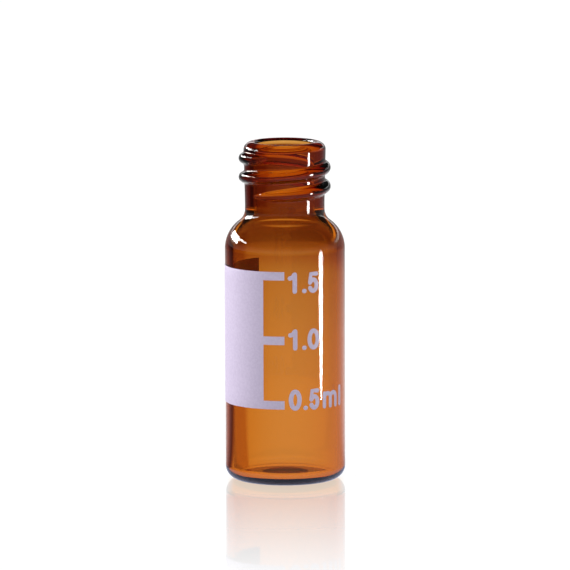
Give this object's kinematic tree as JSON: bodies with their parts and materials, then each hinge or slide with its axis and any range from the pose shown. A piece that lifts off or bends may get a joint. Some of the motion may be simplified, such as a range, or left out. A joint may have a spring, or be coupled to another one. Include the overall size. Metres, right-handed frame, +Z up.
{
  "type": "glass sample vial",
  "caption": "Small amber glass sample vial with a screw-thread neck, an open mouth and a white write-on patch with a volume scale.",
  "frame": {"origin": "centre of the underside, on the surface that the vial stands on", "axes": "+Z up along the vial's axis towards the mouth; -Y is the front, where the scale's ticks show; +X to the viewer's right"},
  "size_m": [0.0116, 0.0116, 0.0326],
  "materials": {
    "amber_glass": "clear amber borosilicate glass, fire-polished",
    "white_enamel": "fired white ceramic ink, matt enough to write on"
  },
  "bodies": {
    "root": {"glass_vial": "amber_glass", "write_on_patch": "white_enamel"}
  },
  "joints": []
}
